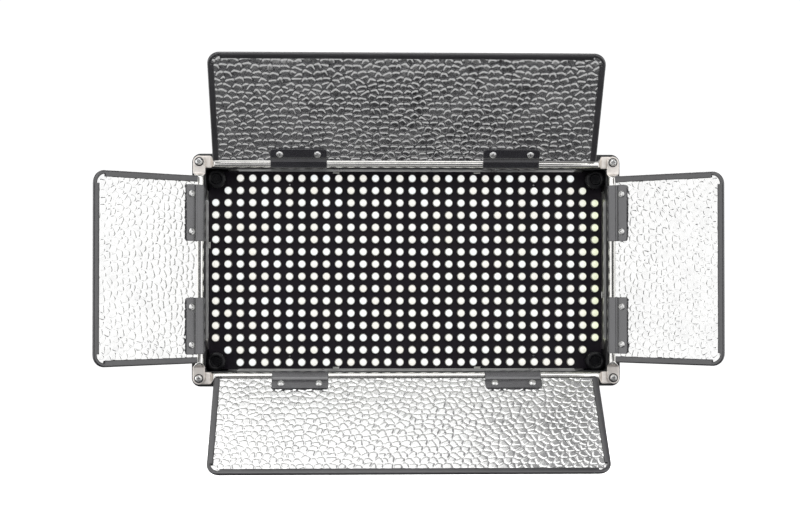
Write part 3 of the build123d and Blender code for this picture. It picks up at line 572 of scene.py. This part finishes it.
def make_reflector(name, matrix, rng):
    """Hammered insert: a fine grid whose inner face really carries the pebbles."""
    low, high = local_box(f"door_{name}_reflector", matrix)
    half = high[0]
    length = high[2] - low[2]
    columns = int(2 * half / GRID_STEP)
    rows = int(length / GRID_STEP)
    radius = CORNER - RIM - INSERT_GAP
    t = np.linspace(-1, 1, columns + 1)
    z = np.linspace(low[2], high[2], rows + 1)
    over = np.clip(z - (high[2] - radius), 0, radius)
    width = half - (radius - np.sqrt(np.maximum(radius ** 2 - over ** 2, 0.0)))
    grid_x = t[None, :] * width[:, None]
    grid_z = np.repeat(z[:, None], columns + 1, axis=1)
    height = np.clip(pebbles(grid_x, grid_z, PEBBLE_SIZE, rng), 0.0, PEBBLE_TOP)
    sag = SAG * np.sin(grid_x / 31.0 + rng.uniform(0, 6)) * np.cos(grid_z / 23.0)
    inner = low[1] + INSERT_SKIN + PEBBLE_HEIGHT * (PEBBLE_TOP - height) + sag
    verts = np.stack([grid_x, inner, grid_z], -1).reshape(-1, 3)
    back = np.stack([grid_x, np.full_like(grid_x, high[1]), grid_z], -1).reshape(-1, 3)
    size = columns + 1
    faces = []
    for r in range(rows):
        base = r * size
        for a in range(base, base + columns):
            faces.append((a, a + 1, a + 1 + size, a + size))
    edge = list(range(size))
    edge += [r * size + columns for r in range(1, rows + 1)]
    edge += [rows * size + c for c in range(columns - 1, -1, -1)]
    edge += [r * size for r in range(rows - 1, 0, -1)]
    total = size * (rows + 1)
    ring = back[edge]
    verts = np.concatenate([verts, ring]) * MM
    count = len(edge)
    for i in range(count):
        j = (i + 1) % count
        faces.append((edge[j], edge[i], total + i, total + j))
    faces.append(tuple(total + i for i in range(count)))
    obj = build(f"door_{name}_hammered_insert", verts, faces, "hammered", matrix, 80.0)
    return settle(obj, f"door_{name}", "hammered", f"door_{name}_reflector")


def hem_ring(lip, front, back):
    """Cross-section of the folded edge as (inwards, depth), with a lip of this width."""
    middle = (front + back) / 2
    bend = (back - front) / 2
    ring = [(SEAM, back), (SEAM - 0.4, back)]
    for i in range(9):
        angle = radians(90 - 180 * i / 8)
        ring.append((bend * 0.8 * (1 - cos(angle)), middle + bend * sin(angle)))
    for i in range(1, 6):
        share = i / 5
        ring.append((HEM_ROLL + (lip - 0.2 - HEM_ROLL) * share, front + HEM_CROWN * share ** 2))
    ring.append((lip, front + HEM_CROWN + 0.12))
    ring.append((lip - 0.1, front + HEM_THICKNESS))
    ring.append((SHEET, front + HEM_THICKNESS))
    ring.append((SHEET, back - SHEET))
    ring.append((SEAM, back - SHEET))
    return ring


def hem_path(half, low, high):
    """Points round the door's three free edges: position, inward direction and lip width."""
    path = []
    flat = half - CORNER

    def add(x, z, ix, iz, lip):
        path.append((x, z, ix, iz, lip))

    for z in np.linspace(low, high - CORNER, 9):
        add(-half, z, 1, 0, HEM)
    for i in range(0, 11):
        angle = radians(90 * i / 10)
        x = -half + CORNER * (1 - cos(angle))
        z = high - CORNER * (1 - sin(angle))
        add(x, z, cos(angle), -sin(angle), HEM_AT_CORNER)
    for x in np.linspace(-flat, flat, 25):
        add(x, high, 0, -1, HEM)
    for i in range(0, 11):
        angle = radians(90 - 90 * i / 10)
        x = half - CORNER * (1 - cos(angle))
        z = high - CORNER * (1 - sin(angle))
        add(x, z, -cos(angle), -sin(angle), HEM_AT_CORNER)
    for z in np.linspace(high - CORNER, low, 9):
        add(half, z, -1, 0, HEM)
    return path


def make_panel(name, matrix, rng):
    """Door sheet with its edges folded round and flattened over the insert."""
    low, high = local_box(f"door_{name}_panel", matrix)
    half = high[0]
    path = hem_path(half, low[2], high[2])
    verts = []
    wobble = rng.uniform(-0.08, 0.08, len(path))
    for (x, z, ix, iz, lip), w in zip(path, wobble):
        for inward, depth in hem_ring(lip + w, low[1], high[1]):
            verts.append((x + ix * inward, depth, z + iz * inward))
    faces = rings_to_faces(len(path), len(verts) // len(path))
    outline = [(x + ix * FLAT_INSET, z + iz * FLAT_INSET) for x, z, ix, iz, lip in path]
    start = len(verts)
    count = len(outline)
    for depth in (high[1] - 0.02, high[1] - SHEET + 0.04):
        verts.extend((x, depth, z) for x, z in outline)
    faces.append(tuple(start + i for i in range(count)))
    faces.append(tuple(start + count + i for i in reversed(range(count))))
    for i in range(count):
        j = (i + 1) % count
        faces.append((start + j, start + i, start + count + i, start + count + j))
    verts = np.array(verts) * MM
    obj = build(f"door_{name}_folded_sheet", verts, faces, "door", matrix, 40.0)
    return settle(obj, f"door_{name}", "door_black", f"door_{name}_panel")


def clip_line():
    """Middle line of the clip's sheet from tongue tip round the rod, with the pressed groove.

    Each point is (depth, height, normal depth, normal height, groove depth).
    """
    radius = CLIP_BORE + CLIP_SHEET / 2
    line = []
    for step in (0.0, 0.25, 0.7, 1.4, CLIP_CORNER):
        line.append((-radius, CLIP_REACH - step, -1.0, 0.0, 0.0))
    for z in (11.0, *np.linspace(8.4, 4.2, 8), 2.0):
        groove = GROOVE_DEPTH * smooth(1.0 - abs(z - GROOVE_HEIGHT) / GROOVE_HALF_WIDTH)
        line.append((-radius, z, -1.0, 0.0, float(groove)))
    for i in range(33):
        angle = radians(180 + CLIP_WRAP * i / 32)
        line.append((radius * cos(angle), radius * sin(angle), cos(angle), sin(angle), 0.0))
    return line


def clip_section(half, half_sheet, groove):
    """Eight corners across the strip, with its edges broken and its face sunk by the groove."""
    front = half_sheet - groove
    back = -half_sheet
    return (
        (-half, back + CLIP_EDGE), (-half, front - CLIP_EDGE),
        (-half + CLIP_EDGE, front), (half - CLIP_EDGE, front),
        (half, front - CLIP_EDGE), (half, back + CLIP_EDGE),
        (half - CLIP_EDGE, back), (-half + CLIP_EDGE, back),
    )


def make_clips(name, matrix):
    """Both clips of a door, each one strip rolled round the rod at one end."""
    verts, faces = [], []
    for centre in (-CLIP_OFFSETS[name], CLIP_OFFSETS[name]):
        start = len(verts)
        line = clip_line()
        for depth, height, nx, nz, groove in line:
            cut = max(0.0, height - (CLIP_REACH - CLIP_CORNER))
            half = CLIP_WIDTH / 2 - (CLIP_CORNER - sqrt(max(CLIP_CORNER ** 2 - cut ** 2, 0.0)))
            for x, off in clip_section(half, CLIP_SHEET / 2, groove):
                verts.append((centre + x, depth + nx * off, height + nz * off))
        faces += rings_to_faces(len(line), 8, start=start)
    verts = np.array(verts) * MM
    obj = build(f"door_{name}_rolled_clips", verts, faces, "clip", matrix, 30.0)
    return settle(obj, f"door_{name}", "clip_sheet", f"door_{name}_clips")


def make_doors():
    rng = np.random.default_rng(SEED)
    for name in DOORS:
        matrix = door_matrix(name)
        make_reflector(name, matrix, rng)
        make_panel(name, matrix, rng)
        make_clips(name, matrix)


# Hinge rods

def squared_circle(angle, power):
    """Unit point on a superellipse, from a circle at power 2 to a flat bar at higher powers."""
    c, s = cos(angle), sin(angle)
    return (
        np.sign(c) * abs(c) ** (2 / power),
        np.sign(s) * abs(s) ** (2 / power),
    )


def rod_section(s, straight, hole, lean, depth):
    """Half width, half thickness, shift sideways, shift in depth and squareness at distance s."""
    if s <= straight:
        return ROD_RADIUS, ROD_RADIUS, 0.0, 0.0, 2.0
    t = min(1.0, (s - straight) / ROD_NECK)
    t = t * t * (3 - 2 * t)
    half = ROD_RADIUS + (TAB_HALF_WIDTH - ROD_RADIUS) * t
    thick = ROD_RADIUS + (TAB_HALF_THICKNESS - ROD_RADIUS) * t
    if s > hole:
        half = sqrt(max(TAB_HALF_WIDTH ** 2 - (s - hole) ** 2, 0.0)) + 0.02
        thick *= 1.0 if half > 1.2 else 0.8
    return half, thick, lean * t, depth * t, 2.0 + 3.0 * t


def make_rod(name, along, outward, material):
    """Plated rod: round between the clips, crushed and stepped back at each end."""
    side = JOINTS[f"door_{name}_hinge"]["pos_m"]
    centre = Vector(side)
    low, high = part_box("corner_washers")
    washer = WASHER_RADIUS * MM
    hole = (high[along] - washer) / MM
    lean = (high[outward] - washer) / MM - abs(centre[outward]) / MM
    box_low, box_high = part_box(f"rod_{name}")
    depth = box_high.y / MM - TAB_HALF_THICKNESS - centre.y / MM
    straight = hole - TAB_REACH - ROD_NECK
    stations = [0.0, 0.5 * straight, straight]
    stations += [straight + ROD_NECK * i / 10 for i in range(1, 11)]
    stations += list(np.linspace(hole - 1.5, hole, 3))
    stations += [hole + TAB_HALF_WIDTH * sin(radians(90 * i / 8)) for i in range(1, 9)]
    stations = sorted(set(round(s, 4) for s in stations))
    line = [-s for s in reversed(stations) if s > 0] + stations
    size = 28
    sign = 1.0 if centre[outward] > 0 else -1.0
    verts = []
    for s in line:
        half, thick, shift, back, power = rod_section(abs(s), straight, hole, lean, depth)
        for i in range(size):
            a, b = squared_circle(2 * pi * i / size, power)
            point = [0.0, 0.0, 0.0]
            point[along] = s * MM
            point[outward] = centre[outward] + sign * (shift + a * half) * MM
            point[1] = centre.y + (back + b * thick) * MM
            verts.append(point)
    faces = rings_to_faces(len(line), size)
    obj = build(f"rod_{name}_plated", verts, faces, material, None, 50.0)
    if flipped(obj):
        obj.data.flip_normals()
    obj.data.materials.append(MATERIALS["crushed_end"])
    for polygon in obj.data.polygons:
        if abs(polygon.center[along]) / MM > straight + 0.6 * ROD_NECK:
            polygon.material_index = 1
    return settle(obj, "head", "plated_rod", f"rod_{name}")


def flipped(obj):
    """True where a closed mesh's faces point inwards."""
    volume = 0.0
    mesh = obj.data
    for polygon in mesh.polygons:
        volume += polygon.normal.dot(mesh.vertices[polygon.vertices[0]].co) * polygon.area
    return volume < 0


def make_rods():
    make_rod("top", 0, 2, "rod_level")
    make_rod("bottom", 0, 2, "rod_level")
    make_rod("left", 2, 0, "rod_upright")
    make_rod("right", 2, 0, "rod_upright")


# Marks and display on the back

# Each segment's place, as shares of the digit's width and half height, and whether it lies flat
SEGMENTS = {
    "a": (0.0, 1.0, True), "g": (0.0, 0.0, True), "d": (0.0, -1.0, True),
    "f": (-0.5, 0.5, False), "b": (0.5, 0.5, False),
    "e": (-0.5, -0.5, False), "c": (0.5, -0.5, False),
}
DIGITS = {"5": "afgcd", "6": "afgedc", "7": "abc"}


def bar(x, z, width, height, y, thickness):
    """Corners of one thin bar standing on the back, tapered a little."""
    verts = []
    for depth, taper in ((0.0, 1.0), (thickness, 0.85)):
        w, h = width / 2 * taper, height / 2 * taper
        for sx, sz in ((-1, -1), (1, -1), (1, 1), (-1, 1)):
            verts.append((x + sx * w, y + depth, z + sz * h))
    return verts


BAR_FACES = [(0, 3, 2, 1), (4, 5, 6, 7), (0, 1, 5, 4), (1, 2, 6, 5), (2, 3, 7, 6), (3, 0, 4, 7)]


def bars_object(name, bars, material, body, slot_name):
    verts, faces = [], []
    for corners in bars:
        start = len(verts)
        verts += corners
        faces += [tuple(start + i for i in face) for face in BAR_FACES]
    obj = build(name, verts, faces, material)
    if flipped(obj):
        obj.data.flip_normals()
    return settle(obj, body, slot_name)


def make_display():
    """Two lines of two lit figures in the display window, seen from behind."""
    low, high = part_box("display_window")
    centre_x, centre_z = (low.x + high.x) / 2, (low.z + high.z) / 2
    bars = []
    for row, text in ((DIGIT_ROW, "75"), (-DIGIT_ROW, "56")):
        for column, digit in enumerate(text):
            digit_x = centre_x + (0.5 - column) * DIGIT_SPACING * MM
            for key in DIGITS[digit]:
                sx, sz, flat = SEGMENTS[key]
                x = digit_x - sx * DIGIT_WIDTH * MM
                z = centre_z + (row + sz * DIGIT_HEIGHT / 2) * MM
                width, height = (3.0, DIGIT_STROKE) if flat else (DIGIT_STROKE, 2.5)
                bars.append(bar(x, z, width * MM, height * MM, high.y - 0.00002, 0.00008))
    bars_object("display_digits", bars, "digit", "head", "display_cell")


def tick_corners(centre_x, centre_z, angle, outer, depths):
    """Corners of one radial tick of a dial's scale."""
    direction = Vector((sin(angle), 0, cos(angle)))
    across = Vector((cos(angle), 0, -sin(angle))) * TICK_HALF_WIDTH * MM
    inner = direction * TICK_INNER * MM
    outer = direction * outer * MM
    corners = []
    for y in depths:
        for p in (inner - across, outer - across, outer + across, inner + across):
            corners.append((centre_x + p.x, y, centre_z + p.z))
    return corners


def make_dial_marks():
    """Scale ticks round each dimmer knob, and the white line in each knob."""
    cover_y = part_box("back_cover")[1].y
    for name, body in (("brightness_knob", "brightness"), ("colour_knob", "colour")):
        low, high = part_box(name)
        cx, cz = (low.x + high.x) / 2, (low.z + high.z) / 2
        ticks = []
        for i in range(TICKS):
            angle = radians(DIAL_TRAVEL * (i / (TICKS - 1) - 0.5))
            outer = TICK_LONG if i % 5 == 0 else TICK_SHORT
            ticks.append(tick_corners(cx, cz, angle, outer, (cover_y - 0.00002, cover_y + 0.00006)))
        bars_object(f"{name}_scale", ticks, "mark", "head", "panel_plastic")
        line = bar(cx, cz + 6.0 * MM, 1.0 * MM, 6.4 * MM, high.y - 0.00045, 0.0002)
        bars_object(f"{name}_pointer", [line], "mark", body, "knob_plastic")


# Stage, light and camera

def make_stage():
    """Pale floor well below the light, which neither lights it nor shows in its metal."""
    g = Graph("pale_floor")
    base = g.mix(g.noise(3.0), grey(0.93), grey(0.96))
    g.shader.inputs["Emission Color"].default_value = (1.0, 1.0, 1.0, 1.0)
    g.shader.inputs["Emission Strength"].default_value = 1.0
    g.finish(base, g.ramp(g.noise(5.0), 0.8, 0.9))
    z = CAD_BOX[0][2] - FLOOR_DROP
    verts = [(sx * FLOOR_HALF, sy * FLOOR_HALF, z) for sx, sy in ((-1, -1), (1, -1), (1, 1), (-1, 1))]
    mesh = bpy.data.meshes.new("floor")
    mesh.from_pydata(verts, [], [(0, 1, 2, 3)])
    floor = bpy.data.objects.new("floor", mesh)
    bpy.context.scene.collection.objects.link(floor)
    mesh.materials.append(g.material)
    floor.visible_glossy = False
    floor.visible_diffuse = False


def make_world():
    """White to the camera, dim grey to everything that is lit by it."""
    world = bpy.data.worlds.new("studio")
    bpy.context.scene.world = world
    world.use_nodes = True
    tree = world.node_tree
    tree.nodes.clear()
    output = tree.nodes.new("ShaderNodeOutputWorld")
    seen = tree.nodes.new("ShaderNodeBackground")
    seen.inputs["Color"].default_value = (1.0, 1.0, 1.0, 1.0)
    seen.inputs["Strength"].default_value = 1.05
    ambient = tree.nodes.new("ShaderNodeBackground")
    ambient.inputs["Color"].default_value = (0.95, 0.95, 1.0, 1.0)
    noise = tree.nodes.new("ShaderNodeTexNoise")
    noise.inputs["Scale"].default_value = 3.2
    noise.inputs["Detail"].default_value = 2.0
    patches = tree.nodes.new("ShaderNodeMapRange")
    patches.inputs["From Min"].default_value = 0.38
    patches.inputs["From Max"].default_value = 0.62
    patches.inputs["To Min"].default_value = 0.02
    patches.inputs["To Max"].default_value = 0.17
    direction = tree.nodes.new("ShaderNodeTexCoord").outputs["Generated"]
    tree.links.new(direction, noise.inputs["Vector"])
    tree.links.new(noise.outputs["Fac"], patches.inputs["Value"])
    tree.links.new(patches.outputs["Result"], ambient.inputs["Strength"])
    path = tree.nodes.new("ShaderNodeLightPath")
    mix = tree.nodes.new("ShaderNodeMixShader")
    tree.links.new(path.outputs["Is Camera Ray"], mix.inputs["Fac"])
    tree.links.new(ambient.outputs[0], mix.inputs[1])
    tree.links.new(seen.outputs[0], mix.inputs[2])
    tree.links.new(mix.outputs[0], output.inputs["Surface"])


def area_light(name, place, target, size, radiance):
    """Rectangular soft box of an even brightness, hidden from the camera."""
    data = bpy.data.lights.new(name, "AREA")
    data.shape = "RECTANGLE"
    data.size, data.size_y = size
    data.energy = radiance * pi * size[0] * size[1]
    light = bpy.data.objects.new(name, data)
    bpy.context.scene.collection.objects.link(light)
    light.location = place
    direction = Vector(target) - Vector(place)
    light.rotation_euler = direction.to_track_quat("-Z", "Y").to_euler()
    light.visible_camera = False
    return light


def make_lights():
    """Soft boxes above, at both sides and low in front, and two behind."""
    heart = Vector(JOINTS["head_tilt"]["pos_m"])
    for name, place, aim, size, radiance in SOFT_BOXES:
        area_light(name, heart + Vector(place), heart + Vector(aim), size, radiance)


def make_camera():
    """Just left of and below the panel's middle, aimed a little up and to the right."""
    hinge_y = JOINTS["door_top_hinge"]["pos_m"][1]
    data = bpy.data.cameras.new("camera")
    data.lens = CAMERA_LENS
    data.sensor_width = 36.0
    data.clip_end = 60.0
    camera = bpy.data.objects.new("camera", data)
    bpy.context.scene.collection.objects.link(camera)
    camera.location = (CAMERA_X, hinge_y - CAMERA_BACK, CAMERA_Z)
    yaw, pitch = radians(CAMERA_YAW), radians(CAMERA_PITCH)
    direction = Vector((-sin(yaw) * cos(pitch), cos(yaw) * cos(pitch), sin(pitch)))
    camera.rotation_euler = direction.to_track_quat("-Z", "Y").to_euler()
    bpy.context.scene.camera = camera


MATERIALS = make_materials()
dress_cad_nodes()
make_doors()
make_rods()
make_display()
make_dial_marks()
make_stage()
make_world()
make_lights()
make_camera()
bpy.context.scene.view_settings.view_transform = "Standard"
